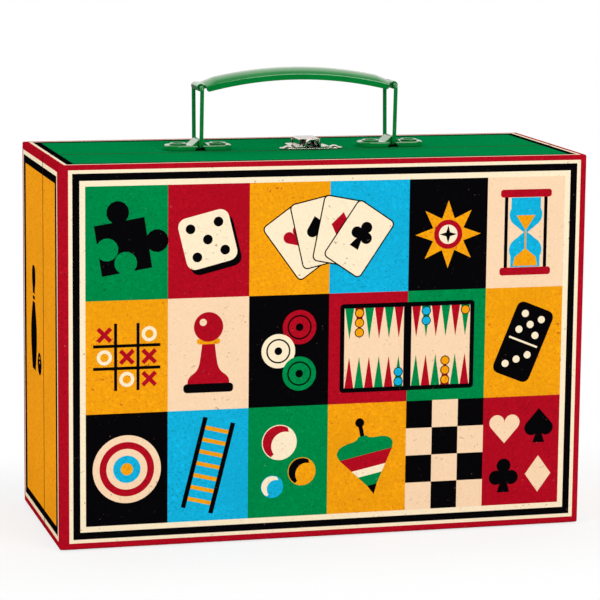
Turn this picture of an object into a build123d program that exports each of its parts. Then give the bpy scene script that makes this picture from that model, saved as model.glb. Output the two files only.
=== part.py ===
"""Games compendium box: a printed paperboard suitcase with a folding handle and a snap lock.

Millimetres, +Z up. The origin is at the bottom centre of the standing case, -Y is its front.
The front shell (lid) swings forward about the seam at the bottom of the rear shell (base).
"""
from build123d import *
import os
from math import acos, asin, cos, degrees, pi, sin, sqrt

os.makedirs("parts", exist_ok=True)

# ---------------------------------------------------------------- driving dimensions
# Case
case_w = 300.0            # overall width
case_h = 212.0            # overall height, spine cloth included
lid_d = 50.0              # depth of the front shell
base_d = 70.0             # depth of the rear shell
seam_gap = 0.6            # slit between the two rims
board_t = 2.0             # greyboard of the rear shell
paper_t = 0.3             # printed wrap and lining paper
cloth_t = 0.4             # spine cloth under the case
edge_r = 1.0              # outer rounding of the wrapped edges
turn_in = 10.0            # wrap paper folded over the rims
cloth_margin = 2.0        # bare rim around the spine cloth
neck_t = 1.5              # board strip that guides the lid
neck_lip = 8.0            # how far the strip stands out of the rear shell
neck_seat = 24.0          # how deep it is glued in
neck_clear = 0.5          # from the strip to the lid's inside
neck_chamfer = 0.5        # eased corners of its lip
cut_reach = 10.0          # length of the shapes that cut through a wall

# Handle
handle_x = -3.5           # middle of the handle
handle_setback = 11.7     # and behind the rear shell's rim
bail_span = 112.6         # between the two bails
bail_h = 33.0             # from a bail's lower bar to its upper bar
bail_foot_w = 18.8        # wire to wire at the lower bar
bail_head_w = 22.2        # wire to wire at the upper bar
wire_d = 2.2              # bail wire
wire_bend_r = 1.7         # centreline of its bends
pivot_h = 2.6             # lower bar over the case top
shaft_clear = 0.06        # radial play of the bars in their saddles, and of the lever on its pin
roll_clear = 0.2          # radial play of the upper bars in the grip's rolled ends
grip_len = 108.5          # sheet body of the grip, straight across
grip_w = 17.8
grip_rise = 10.4          # crest of the grip over the upper bars
grip_arc_r = 225.0        # bow of the grip
grip_crown = 3.3          # crown across the grip
grip_end_crown = 2.2      # what is left of it at the ends
grip_end_len = 7.0        # length over which it falls
grip_corner_r = 1.5       # lower corners of the turned-down edges
grip_flange = 3.2         # turned-down edges
grip_sheet = 0.9
tongue_w = 15.0           # grip ends rolled round the bars
roll_slit = 0.5           # slit where the rolled end meets the tongue
bracket_len = 37.8
bracket_w = 15.0
bracket_h = 3.1           # pressed plate over the case top
bracket_sheet = 0.8
bracket_corner_r = 6.0
tent_h = 6.5              # pressed tent over the lower bar, over the case top
tent_w = 14.2             # from gable to gable
tent_foot = 8.0           # half width at the case top
tent_foot_t = 1.2         # its sheet, measured along the case top
tent_ridge_r = 1.6
tent_edge_r = 0.4
bar_notch = 3.4           # half width of the bar's notches in the gables, at the case top
foot_h = 0.2              # upright foot of the tents and lugs
eyelet_pitch = 22.8       # between the two eyelets of a bracket
eyelet_r = 3.8            # shank
eyelet_bore_r = 3.3
eyelet_head_r = 4.9
eyelet_head_h = 0.9
eyelet_bevel = 0.4
rivet_clear = 0.05        # shank in its holes
washer_r = 6.2
washer_t = 0.6
clinch_h = 0.6            # clinched ends inside the case
clinch_lip = 1.0          # and how far they spread

# Snap lock
latch_x = 4.5             # middle of the lock
latch_setback = 0.3       # plate edge behind the rim
latch_sheet = 0.8
latch_w = 19.0
latch_len = 30.0
latch_corner_r = 3.2
ear_pitch = 27.0          # between the two rivets
ear_r = 4.8
ear_setback = 5.2         # rivets behind the plate edge
latch_rivet_r = 1.4
latch_rivet_head_r = 3.0
latch_rivet_head_h = 1.3
lever_gap = 0.3           # lever over the plate
lever_h = 5.5             # top of the lever over the case top
lug_r = 1.4               # lugs round the pin
lug_foot = 4.2            # their length on the plate
lever_block_w = 12.6
lever_block_setback = 6.4     # front of the raised block behind the plate edge
lever_plate_len = 13.5
hump_r = 4.8              # arched finger lift
hump_len = 5.8
pin_setback = 23.5        # lever pin behind the plate edge
pin_rise = 2.8            # and over the case top
pin_r = 0.8
pin_head_r = 1.3
pin_head_h = 0.5
lug_gap = 0.2             # lug to cheek
spring_t = 0.4
spring_w = 5.0
spring_rest_gap = 0.1     # leaf over the lever's cross strap
spring_bend_r = 0.5
spring_flat = 9.0         # leaf flat on the plate
spring_rivet_r = 0.8
nose_setback = 8.8        # leaf's nose behind the plate edge
nose_len = 1.9            # front slope of the nose
nose_rise = 1.3           # and how far that slope climbs
nose_drop = 0.2           # nose under the striker
slot_w = 6.4
slot_len = 3.4
nose_clear = 0.5          # slot behind the nose
striker_t = 0.8
striker_w = 12.0          # tongue
striker_plate_w = 26.0
striker_plate_len = 16.0
striker_corner_r = 2.0
striker_inset = 12.0      # striker plate in front of the rim
striker_strap = 2.0       # metal behind the striker's window
striker_dip = 0.7         # tongue under the rear shell's lining
striker_joggle = 3.0      # step from the plate down to the tongue
window_clear = 0.3        # nose in the striker's window
striker_pitch = 18.0
flush_head_r = 2.4        # heads of the striker's rivets
flush_head_h = 0.5
lock_notch_w = 38.0       # neck cut away behind the lock
lock_notch_len = 20.0

# Contents
tray_sheet = 1.0          # moulded insert
tray_clear = 0.5          # insert to the neck and the books
tray_head = 3.0           # insert under the rear shell's top wall
tray_setback = 2.0        # insert face behind the rim
tray_corner_r = 4.0
well_r = 2.0
panel_side_clear = 5.4    # loose playing boards, inside the rear shell's walls
panel_head_clear = 10.4   # and under its top wall
panel_t = 2.0
book_w = 140.0
book_head_clear = 8.4
book_t = 1.6
book_spine_r = 0.6
seat_gap = 0.3            # loose pieces in their wells
stack_gap = 0.05          # air between stacked pieces
deck_w = 63.0
deck_h = 88.0
deck_t = 18.0
deck_sink = 4.0           # deck fronts behind the insert's face
thumb_r = 9.0             # thumb notch of a tuck box
thumb_depth = 0.5
tile_w = 40.0
tile_t = 2.4
tile_count = 12
tile_gap = 5.4            # between the wells of the two stacks
tile_sink = 2.0
die_w = 16.0
die_bevel = 1.2
die_count = 3
die_share = 0.8           # part of a die inside its well
draught_r = 13.0
draught_t = 6.0
draught_chamfer = 0.75
draught_count = 12
draught_share = 0.75      # radius of a draughtsman behind the face
pawn_r = 6.0
pawn_h = 24.0
pawn_foot_h = 2.4
pawn_waist_r = 3.4           # where the flared skirt meets the stem
pawn_waist_h = 7.5
pawn_neck_r = 2.1
pawn_head_r = 3.8
pawn_head_bands = 6       # turned flats of the head
pawn_pitch = 14.5
pawn_rank = 4             # pawns in each row and rows of pawns
socket_depth = 10.0

# ---------------------------------------------------------------- places worked out from them
y_front = -(lid_d + base_d) / 2
y_hinge = y_front + lid_d
y_back = y_front + lid_d + base_d
base_rim = y_hinge + seam_gap / 2
lid_rim = y_hinge - seam_gap / 2
lid_board_t = board_t - neck_clear
base_wall = 2 * paper_t + board_t
lid_wall = 2 * paper_t + lid_board_t
base_ceiling = case_h - base_wall
lid_ceiling = case_h - lid_wall
base_floor = cloth_t + base_wall
handle_y = base_rim + handle_setback
bail_xs = (handle_x - bail_span / 2, handle_x + bail_span / 2)
eyelet_xs = [x + side * eyelet_pitch / 2 for x in bail_xs for side in (-1, 1)]
pivot_z = case_h + pivot_h
head_z = pivot_z + bail_h
latch_front = base_rim + latch_setback
ear_y = latch_front + ear_setback
nose_y = latch_front + nose_setback
pin_y = latch_front + pin_setback
pin_z = case_h + pin_rise
lever_bottom = case_h + latch_sheet + lever_gap
cheek_end_r = pin_z - lever_bottom
lever_top = case_h + lever_h
tongue_top = base_ceiling - striker_dip
ear_xs = [latch_x + side * ear_pitch / 2 for side in (-1, 1)]
striker_xs = [latch_x + side * striker_pitch / 2 for side in (-1, 1)]
striker_y = lid_rim - striker_inset - striker_plate_len / 2
slot_y = nose_y + nose_clear + spring_t / 2 - slot_len / 2


def at_y(y):
    """Sketch plane across the case at depth y, with X to the right and Z up."""
    return Plane.XZ.offset(-y)


def case_block(y_open, y_closed, inset, radius=0.0):
    """Block of the case's section, from the open side to the closed one, rounded on the closed one."""
    width = case_w - 2 * inset
    height = case_h - cloth_t - 2 * inset
    with BuildPart() as block:
        with BuildSketch(at_y(y_closed)):
            with Locations((0, (case_h + cloth_t) / 2)):
                if radius:
                    RectangleRounded(width, height, radius)
                else:
                    Rectangle(width, height)
        extrude(amount=y_closed - y_open)
        if radius:
            ends = block.faces().filter_by(Axis.Y).sort_by(Axis.Y)
            closed_end = ends[-1] if y_closed > y_open else ends[0]
            fillet(closed_end.edges(), radius)
    return block.part


def save(built, label):
    """Names a finished piece and writes its STEP file."""
    built.part.label = label
    export_step(built.part, f"parts/{label}.step")


def placed(piece, positions):
    """The same piece at every position, as one group of separate solids."""
    with BuildPart() as group:
        with Locations(*positions):
            add(piece.part)
    return group


# ---------------------------------------------------------------- the two shells
def build_shell(name, y_rim, y_closed, wall_board, cut_holes, wrap_holes=True):
    """Board tray, printed wrap turned in over the rim, and paper lining of one shell."""
    inward = 1 if y_closed > y_rim else -1
    cavity_inset = paper_t + wall_board
    lining_inset = cavity_inset + paper_t
    cavity_end = y_closed - inward * cavity_inset
    turn_end = y_rim + inward * turn_in
    mouth = y_rim - inward * paper_t

    outer = case_block(y_rim, y_closed, 0, edge_r)
    board_block = case_block(y_rim + inward * paper_t, y_closed - inward * paper_t, paper_t, edge_r - paper_t)
    cavity = case_block(mouth, cavity_end, cavity_inset)
    turned = case_block(y_rim, turn_end, cavity_inset)
    opening = case_block(mouth, turn_end, lining_inset)
    lining_block = case_block(turn_end, cavity_end, cavity_inset)
    lined_space = case_block(turn_end - inward * paper_t, y_closed - inward * lining_inset, lining_inset)

    with BuildPart() as tray_board:
        add(board_block)
        add(cavity, mode=Mode.SUBTRACT)
        cut_holes()
    save(tray_board, f"{name}_board")

    with BuildPart() as wrap:
        add(outer)
        add(board_block, mode=Mode.SUBTRACT)
        add(turned)
        add(opening, mode=Mode.SUBTRACT)
        if wrap_holes:
            cut_holes()
    save(wrap, f"{name}_wrap")

    with BuildPart() as lining:
        add(lining_block)
        add(lined_space, mode=Mode.SUBTRACT)
        cut_holes()
    save(lining, f"{name}_lining")


def cut_base_holes():
    """Holes of the eyelets and lock rivets, and the slot of the lock's nose, in the top wall."""
    with Locations(*[(x, handle_y, case_h) for x in eyelet_xs]):
        Cylinder(eyelet_r + rivet_clear, cut_reach, mode=Mode.SUBTRACT)
    with Locations(*[(x, ear_y, case_h) for x in ear_xs]):
        Cylinder(latch_rivet_r + rivet_clear, cut_reach, mode=Mode.SUBTRACT)
    with Locations((latch_x, slot_y, case_h)):
        Box(slot_w, slot_len, cut_reach, mode=Mode.SUBTRACT)


def cut_striker_holes():
    """Holes of the striker's rivets in the lid's top wall, countersunk under the wrap."""
    with Locations(*[(x, striker_y, case_h - paper_t) for x in striker_xs]):
        Cylinder(latch_rivet_r + rivet_clear, cut_reach, mode=Mode.SUBTRACT)
        Cylinder(flush_head_r + rivet_clear, 2 * flush_head_h, mode=Mode.SUBTRACT)


build_shell("base", base_rim, y_back, board_t, cut_base_holes)
build_shell("lid", lid_rim, y_front, lid_board_t, cut_striker_holes, wrap_holes=False)

# Spine cloth: one strip glued under both shells, bending along the hinge line at its lower face
for name, y_edge in (("base_cloth", y_back), ("lid_cloth", y_front)):
    outward = 1 if y_edge > y_hinge else -1
    cloth_end = y_edge - outward * cloth_margin
    with BuildPart() as cloth:
        with BuildSketch():
            with Locations((0, (y_hinge + cloth_end) / 2)):
                Rectangle(case_w - 2 * cloth_margin, abs(cloth_end - y_hinge))
        extrude(amount=cloth_t)
    save(cloth, name)

# Neck: board strip inside the rear shell's top and sides, standing out of its rim to guide the lid
neck_outer_w = case_w - 2 * base_wall
neck_h = base_ceiling - base_floor
neck_front = base_rim - neck_lip
neck_back = base_rim + neck_seat
with BuildPart() as neck:
    with BuildSketch(at_y(neck_front)):
        with Locations((0, base_floor)):
            Rectangle(neck_outer_w, neck_h, align=(Align.CENTER, Align.MIN))
            Rectangle(neck_outer_w - 2 * neck_t, neck_h - neck_t,
                      align=(Align.CENTER, Align.MIN), mode=Mode.SUBTRACT)
    extrude(amount=neck_front - neck_back)
    with Locations((latch_x, neck_front, base_ceiling)):
        Box(lock_notch_w, 2 * lock_notch_len, cut_reach, mode=Mode.SUBTRACT)
    with Locations(*[(x, handle_y, base_ceiling) for x in eyelet_xs]):
        Cylinder(washer_r + seat_gap, cut_reach, mode=Mode.SUBTRACT)
    lip_corners = neck.faces().filter_by(Axis.Y).sort_by(Axis.Y)[0:2]
    chamfer([edge for face in lip_corners for edge in face.edges().filter_by(Axis.Z)], neck_chamfer)
save(neck, "neck")

# ---------------------------------------------------------------- handle
def ridge(width, radius, height, foot):
    """Section of a rounded ridge with its foot on the case top, placed to be extruded by that width."""
    with BuildSketch(at_y(width / 2)) as section:
        with Locations((0, height)):
            Circle(radius)
        Rectangle(2 * foot, foot_h, align=(Align.CENTER, Align.MIN))
        make_hull()
    return section.sketch


# Brackets: pressed plates with a tent whose notched gables hold the bail's lower bar
with BuildPart() as tent:
    extrude(ridge(tent_w, tent_ridge_r, tent_h - tent_ridge_r, tent_foot), amount=tent_w)
    fillet(tent.faces().filter_by(Axis.Y).edges().filter_by(lambda e: e.center().Z > foot_h), tent_edge_r)
with BuildPart() as bracket:
    with BuildSketch():
        RectangleRounded(bracket_len, bracket_w, bracket_corner_r)
    extrude(amount=bracket_h)
    fillet(bracket.faces().sort_by(Axis.Z)[-1].edges(), bracket_sheet)
    add(tent.part)
    with BuildSketch():
        RectangleRounded(bracket_len - 2 * bracket_sheet, bracket_w - 2 * bracket_sheet,
                         bracket_corner_r - bracket_sheet)
    extrude(amount=bracket_h - bracket_sheet, mode=Mode.SUBTRACT)
    inner_w = tent_w - 2 * bracket_sheet
    extrude(ridge(inner_w, tent_ridge_r - bracket_sheet, tent_h - tent_ridge_r, tent_foot - tent_foot_t),
            amount=inner_w, mode=Mode.SUBTRACT)
    extrude(ridge(bracket_w, wire_d / 2 + shaft_clear, pivot_h, bar_notch),
            amount=bracket_w, mode=Mode.SUBTRACT)
    with Locations((-eyelet_pitch / 2, 0), (eyelet_pitch / 2, 0)):
        Cylinder(eyelet_r + rivet_clear, cut_reach, mode=Mode.SUBTRACT)
for name, x in zip(("bracket_left", "bracket_right"), bail_xs):
    save(placed(bracket, [(x, handle_y, case_h)]), name)

# Bails: closed wire loops, wider at the grip
for name, x in zip(("bail_left", "bail_right"), bail_xs):
    with BuildPart() as bail:
        with BuildLine(Plane.YZ.offset(x)) as loop:
            FilletPolyline(
                (handle_y - bail_foot_w / 2, pivot_z),
                (handle_y + bail_foot_w / 2, pivot_z),
                (handle_y + bail_head_w / 2, head_z),
                (handle_y - bail_head_w / 2, head_z),
                radius=wire_bend_r,
                close=True,
            )
        with BuildSketch(Plane((x, handle_y, pivot_z), x_dir=(1, 0, 0), z_dir=(0, 1, 0))):
            Circle(wire_d / 2)
        sweep(path=loop.wires()[0])
    save(bail, name)

# Grip: a bowed, crowned channel whose ends are drawn in and rolled round the upper bars
crest_z = head_z + grip_rise
bow_z = crest_z - grip_arc_r
end_angle = asin(grip_len / 2 / grip_arc_r)
fall_angle = asin((grip_len / 2 - grip_end_len) / grip_arc_r)
roll_inner_r = wire_d / 2 + roll_clear
roll_outer_r = roll_inner_r + grip_sheet
bar_x = bail_xs[1]


def bow_plane(angle):
    """Plane square to the grip's bow at an angle from its middle, with its origin on the full crest."""
    return Plane((handle_x + grip_arc_r * sin(angle), handle_y, bow_z + grip_arc_r * cos(angle)),
                 x_dir=(0, 1, 0), z_dir=(cos(angle), 0, -sin(angle)))


def crown_fall(crown, across):
    """How far a crowned surface lies below its crest, that far across from the middle."""
    radius = (grip_w**2 / 4 + crown**2) / (2 * crown)
    return radius - sqrt(radius**2 - across**2)


def channel_section(angle, crown):
    """Section of the channel at an angle along the bow, with that much crown left."""
    shoulder = -grip_crown
    outer_half, inner_half = grip_w / 2, grip_w / 2 - grip_sheet
    with BuildSketch(bow_plane(angle)) as section:
        with BuildLine():
            ThreePointArc((-outer_half, shoulder), (0, shoulder + crown), (outer_half, shoulder))
            Polyline((outer_half, shoulder), (outer_half, shoulder - grip_flange),
                     (-outer_half, shoulder - grip_flange), (-outer_half, shoulder))
        make_face()
        fillet(section.vertices().group_by(Axis.Y)[-1], grip_sheet)
        inside = shoulder - grip_sheet
        with BuildLine():
            ThreePointArc((-inner_half, inside), (0, inside + crown), (inner_half, inside))
            Polyline((inner_half, inside), (inner_half, shoulder - 2 * grip_flange),
                     (-inner_half, shoulder - 2 * grip_flange), (-inner_half, inside))
        make_face(mode=Mode.SUBTRACT)
    return section.sketch


def tongue_section():
    """Crowned strip where the tongue leaves the end of the channel."""
    half = tongue_w / 2
    crest = grip_end_crown - grip_crown
    edge = crest - crown_fall(grip_end_crown, half)
    with BuildSketch(bow_plane(end_angle)) as section:
        with BuildLine():
            ThreePointArc((-half, edge), (0, crest), (half, edge))
            Line((half, edge), (half, edge - grip_sheet))
            ThreePointArc((half, edge - grip_sheet), (0, crest - grip_sheet), (-half, edge - grip_sheet))
            Line((-half, edge - grip_sheet), (-half, edge))
        make_face()
    return section.sketch


def roll_section():
    """Flat strip where the tongue meets the top of the rolled end."""
    with BuildSketch(Plane.YZ.offset(bar_x)) as section:
        with Locations((handle_y, head_z + roll_inner_r)):
            Rectangle(tongue_w, grip_sheet, align=(Align.CENTER, Align.MIN))
    return section.sketch


with BuildPart() as grip:
    revolve(channel_section(0, grip_crown), axis=Axis((handle_x, 0, bow_z), (0, 1, 0)),
            revolution_arc=degrees(fall_angle))
    loft([channel_section(fall_angle, grip_crown), channel_section(end_angle, grip_end_crown)])
    flange_ends = grip.edges().filter_by(lambda e: e.length < 1.1 * grip_sheet).group_by(Axis.X)[-1]
    fillet(flange_ends.group_by(Axis.Z)[0], grip_corner_r)
    loft([tongue_section(), roll_section()])
    with BuildSketch(at_y(handle_y + tongue_w / 2)):
        with Locations((bar_x, head_z)):
            Circle(roll_outer_r)
            Circle(roll_inner_r, mode=Mode.SUBTRACT)
            with Locations((-roll_inner_r, 0)):
                Rectangle(2 * roll_inner_r, roll_slit, align=(Align.CENTER, Align.MIN), mode=Mode.SUBTRACT)
    extrude(amount=tongue_w)
    mirror(about=Plane.YZ.offset(handle_x))
save(grip, "grip")


# ---------------------------------------------------------------- fasteners
# Tubular eyelets of the handle brackets, rolled outside and clinched on washers inside
eyelet_spots = [(x, handle_y, case_h) for x in eyelet_xs]
washer_bottom = -base_wall - washer_t
with BuildPart() as eyelet:
    with BuildSketch(Plane.XZ):
        with BuildLine():
            Polyline((eyelet_bore_r, bracket_h + eyelet_head_h),
                     (eyelet_bore_r, washer_bottom - clinch_h),
                     (eyelet_r + clinch_lip, washer_bottom - clinch_h),
                     (eyelet_r + clinch_lip, washer_bottom), (eyelet_r, washer_bottom),
                     (eyelet_r, bracket_h), (eyelet_head_r, bracket_h),
                     (eyelet_head_r, bracket_h + eyelet_head_h), close=True)
        head = make_face()
        chamfer(head.vertices().group_by(Axis.Y)[-1], eyelet_bevel)
    revolve(axis=Axis.Z)
save(placed(eyelet, eyelet_spots), "bracket_eyelets")

with BuildPart() as washer:
    with BuildSketch(Plane.XY.offset(washer_bottom)):
        Circle(washer_r)
        Circle(eyelet_r + rivet_clear, mode=Mode.SUBTRACT)
    extrude(amount=washer_t)
save(placed(washer, eyelet_spots), "eyelet_washers")

# Domed rivets of the lock plate
with BuildPart() as latch_rivet:
    with BuildSketch(Plane.XZ):
        with BuildLine():
            Polyline((0, latch_sheet + latch_rivet_head_h), (0, -base_wall - clinch_h),
                     (latch_rivet_r + clinch_lip, -base_wall - clinch_h),
                     (latch_rivet_r + clinch_lip, -base_wall), (latch_rivet_r, -base_wall),
                     (latch_rivet_r, latch_sheet), (latch_rivet_head_r, latch_sheet))
            RadiusArc((latch_rivet_head_r, latch_sheet), (0, latch_sheet + latch_rivet_head_h),
                      -(latch_rivet_head_r**2 + latch_rivet_head_h**2) / (2 * latch_rivet_head_h))
        make_face()
    revolve(axis=Axis.Z)
save(placed(latch_rivet, [(x, ear_y, case_h) for x in ear_xs]), "latch_rivets")

# Flush rivets of the striker, hidden under the lid's wrap
with BuildPart() as striker_rivet:
    with BuildSketch(Plane.XZ):
        with BuildLine():
            stack = lid_wall - paper_t + striker_t
            Polyline((0, 0), (flush_head_r, 0), (flush_head_r, -flush_head_h), (latch_rivet_r, -flush_head_h),
                     (latch_rivet_r, -stack), (latch_rivet_r + clinch_lip, -stack),
                     (latch_rivet_r + clinch_lip, -stack - clinch_h), (0, -stack - clinch_h), close=True)
        make_face()
    revolve(axis=Axis.Z)
save(placed(striker_rivet, [(x, striker_y, case_h - paper_t) for x in striker_xs]), "striker_rivets")

# ---------------------------------------------------------------- snap lock
lug_outer = lever_block_w / 2 - latch_sheet - lug_gap
lug_xs = [latch_x + side * (lug_outer - latch_sheet / 2) for side in (-1, 1)]
plate_top = case_h + latch_sheet
spring_end = latch_front + latch_len - latch_sheet
spring_rivet_y = spring_end - spring_w / 2

with BuildPart() as latch_plate:
    with BuildSketch(Plane.XY.offset(case_h)) as outline:
        with Locations((latch_x, latch_front)):
            Rectangle(latch_w, latch_len, align=(Align.CENTER, Align.MIN))
        with Locations((latch_x, ear_y)):
            SlotCenterToCenter(ear_pitch, 2 * ear_r)
        fillet(outline.vertices().group_by(Axis.Y)[-1], latch_corner_r)
    extrude(amount=latch_sheet)
    with Locations(*[(x, ear_y, case_h) for x in ear_xs]):
        Cylinder(latch_rivet_r + rivet_clear, cut_reach, mode=Mode.SUBTRACT)
    with Locations((latch_x, spring_rivet_y, case_h)):
        Cylinder(spring_rivet_r + rivet_clear, cut_reach, mode=Mode.SUBTRACT)
    with Locations((latch_x, slot_y, case_h)):
        Box(slot_w, slot_len, cut_reach, mode=Mode.SUBTRACT)
    # lugs bent up beside the pin
    for x in lug_xs:
        with BuildSketch(Plane.YZ.offset(x - latch_sheet / 2)):
            with Locations((pin_y, pin_z)):
                Circle(lug_r)
            with Locations((pin_y, plate_top)):
                Rectangle(lug_foot, foot_h)
            make_hull()
        extrude(amount=latch_sheet)
    with Locations(Location((latch_x, pin_y, pin_z), (0, 90, 0))):
        Cylinder(pin_r + rivet_clear, latch_w, mode=Mode.SUBTRACT)
save(latch_plate, "latch_plate")

with BuildPart() as latch_pin:
    pin_half = lever_block_w / 2 + rivet_clear
    with Locations(Location((latch_x, pin_y, pin_z), (0, 90, 0))):
        Cylinder(pin_r, 2 * (pin_half + pin_head_h))
    for side in (-1, 1):
        with Locations(Location((latch_x + side * (pin_half + pin_head_h / 2), pin_y, pin_z), (0, 90, 0))):
            Cylinder(pin_head_r, pin_head_h)
    fillet(latch_pin.edges().filter_by(GeomType.CIRCLE).group_by(Axis.X)[-1], pin_head_h / 2)
    fillet(latch_pin.edges().filter_by(GeomType.CIRCLE).group_by(Axis.X)[0], pin_head_h / 2)
save(latch_pin, "latch_pin")

# Lever: stamped sheet with an arched finger lift in front and a raised channel over the pin
strap_top = lever_bottom + latch_sheet
block_front = latch_front + lever_block_setback
with BuildPart() as latch_lever:
    with BuildSketch(at_y(latch_front)) as wave:
        with Locations((latch_x, lever_bottom)):
            Rectangle(latch_w, latch_sheet, align=(Align.CENTER, Align.MIN))
            Circle(hump_r)
            Rectangle(latch_w, 2 * hump_r, align=(Align.CENTER, Align.MAX), mode=Mode.SUBTRACT)
        feet = wave.vertices().filter_by(lambda v: abs(v.X - latch_x) < hump_r and v.Z > strap_top - 0.01)
        fillet(feet, 2 * latch_sheet)
        with Locations((latch_x, lever_bottom)):
            Circle(hump_r - latch_sheet, mode=Mode.SUBTRACT)
    extrude(amount=-hump_len)
    with BuildSketch(Plane.XY.offset(lever_bottom)) as strap:
        with Locations((latch_x, latch_front + hump_len)):
            Rectangle(latch_w, lever_plate_len - hump_len, align=(Align.CENTER, Align.MIN))
        fillet(strap.vertices().group_by(Axis.Y)[-1], latch_corner_r)
    extrude(amount=latch_sheet)
    with BuildSketch(Plane.YZ.offset(latch_x - lever_block_w / 2)):
        with Locations((block_front, lever_bottom)):
            Rectangle(pin_y - block_front, lever_top - lever_bottom, align=(Align.MIN, Align.MIN))
        with Locations((pin_y, pin_z)):
            Circle(cheek_end_r)
    extrude(amount=lever_block_w)
    roof_edges = latch_lever.edges().filter_by(Axis.Y).filter_by(lambda e: e.center().Z > lever_top - 0.01)
    fillet(roof_edges, latch_sheet)
    with Locations((latch_x, block_front, strap_top)):
        Box(2 * (lug_outer + lug_gap), latch_len, lever_top - latch_sheet - strap_top,
            align=(Align.CENTER, Align.MIN, Align.MIN), mode=Mode.SUBTRACT)
    with Locations((latch_x, latch_front + lever_plate_len, plate_top)):
        Box(2 * (lug_outer + lug_gap), latch_len, strap_top - plate_top,
            align=(Align.CENTER, Align.MIN, Align.MIN), mode=Mode.SUBTRACT)
    with Locations((latch_x, slot_y, plate_top)):
        Box(slot_w, slot_len, strap_top - plate_top,
            align=(Align.CENTER, Align.CENTER, Align.MIN), mode=Mode.SUBTRACT)
    with Locations(Location((latch_x, pin_y, pin_z), (0, 90, 0))):
        Cylinder(pin_r + shaft_clear, latch_w, mode=Mode.SUBTRACT)
save(latch_lever, "latch_lever")

# Leaf spring: rests on the lever's strap and drops its folded nose through the slots
leaf_z = strap_top + spring_rest_gap + spring_t / 2
nose_bottom = tongue_top - striker_t - nose_drop + spring_t / 2
with BuildPart() as latch_spring:
    with BuildSketch(Plane.YZ.offset(latch_x - spring_w / 2)):
        with BuildLine():
            FilletPolyline((spring_end, plate_top + spring_t / 2),
                           (spring_end - spring_flat, plate_top + spring_t / 2),
                           (latch_front + lever_plate_len, leaf_z),
                           (nose_y, leaf_z),
                           (nose_y, nose_bottom),
                           (nose_y - nose_len, nose_bottom + nose_rise),
                           radius=spring_bend_r)
        trace(line_width=spring_t)
    extrude(amount=spring_w)
    with Locations((latch_x, spring_rivet_y, plate_top)):
        Cylinder(spring_rivet_r + rivet_clear, cut_reach, mode=Mode.SUBTRACT)
save(latch_spring, "latch_spring")

with BuildPart() as spring_rivet:
    head_bottom = plate_top + spring_t
    with Locations((latch_x, spring_rivet_y, case_h)):
        Cylinder(spring_rivet_r, latch_sheet + spring_t, align=(Align.CENTER, Align.CENTER, Align.MIN))
    with Locations((latch_x, spring_rivet_y, head_bottom)):
        Cylinder(2 * spring_rivet_r, spring_rivet_r, align=(Align.CENTER, Align.CENTER, Align.MIN))
    fillet(spring_rivet.edges().group_by(Axis.Z)[-1], spring_rivet_r / 2)
save(spring_rivet, "spring_rivet")

# Striker: joggled strip under the lid's top wall; its window takes the spring's nose
window_back = nose_y + spring_t / 2 + window_clear
window_front = nose_y - nose_len - spring_t / 2 - window_clear
striker_back = window_back + striker_strap
plate_back = striker_y + striker_plate_len / 2
with BuildPart() as striker:
    with BuildSketch(Plane.YZ.offset(latch_x - striker_w / 2)):
        with BuildLine():
            Polyline((striker_y, lid_ceiling), (plate_back, lid_ceiling),
                     (plate_back + striker_joggle, tongue_top), (striker_back, tongue_top),
                     (striker_back, tongue_top - striker_t),
                     (plate_back + striker_joggle, tongue_top - striker_t),
                     (plate_back, lid_ceiling - striker_t), (striker_y, lid_ceiling - striker_t), close=True)
        make_face()
    extrude(amount=striker_w)
    fillet(striker.edges().filter_by(Axis.Z).group_by(Axis.Y)[-1], striker_corner_r)
    with BuildSketch(Plane.XY.offset(lid_ceiling - striker_t)):
        with Locations((latch_x, striker_y)):
            RectangleRounded(striker_plate_w, striker_plate_len, striker_corner_r)
    extrude(amount=striker_t)
    with Locations((latch_x, (window_front + window_back) / 2, tongue_top)):
        Box(slot_w, window_back - window_front, cut_reach, mode=Mode.SUBTRACT)
    with Locations(*[(x, striker_y, lid_ceiling) for x in striker_xs]):
        Cylinder(latch_rivet_r + rivet_clear, cut_reach, mode=Mode.SUBTRACT)
save(striker, "striker")

# ---------------------------------------------------------------- contents of the rear shell
shelf_y = y_back - base_wall
for index, name in enumerate(("chess_board", "ludo_board")):
    with BuildPart() as playing_board:
        with BuildSketch(at_y(shelf_y - index * panel_t)):
            with Locations((0, base_floor)):
                Rectangle(neck_outer_w - 2 * panel_side_clear, neck_h - panel_head_clear,
                          align=(Align.CENTER, Align.MIN))
        extrude(amount=panel_t)
        fillet(playing_board.edges().filter_by(Axis.Y), panel_t)
    save(playing_board, name)

book_y = shelf_y - 2 * panel_t
with BuildPart() as rule_book:
    with BuildSketch(at_y(book_y)):
        with Locations((0, base_floor)):
            Rectangle(book_w, neck_h - book_head_clear, align=(Align.CENTER, Align.MIN))
    extrude(amount=book_t)
    fillet(rule_book.edges().filter_by(Axis.Z).group_by(Axis.X)[0], book_spine_r)
save(rule_book, "rule_book")

# Moulded insert: a skirted plate with wells sunk behind its face
tray_w = neck_outer_w - 2 * (neck_t + tray_clear)
tray_bottom = base_floor + seat_gap
tray_h = base_ceiling - tray_head - tray_bottom
tray_face = base_rim + tray_setback
tray_depth = book_y - book_t - seat_gap - tray_face
tray_mid_z = tray_bottom + tray_h / 2
deck_back = tray_face + deck_sink + deck_t
tile_back = tray_face + tile_sink + tile_count * tile_t
dice_back = tray_face + die_share * die_w
draught_axis_y = tray_face + draught_share * draught_r
pawn_back = tray_face + pawn_h


def spread(lengths, room, middle):
    """Middles of pieces of those lengths, set out in a room with even gaps between and beside them."""
    gap = (room - sum(lengths)) / (len(lengths) + 1)
    edge = middle - room / 2
    middles = []
    for length in lengths:
        middles.append(edge + gap + length / 2)
        edge += gap + length
    return middles


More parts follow.
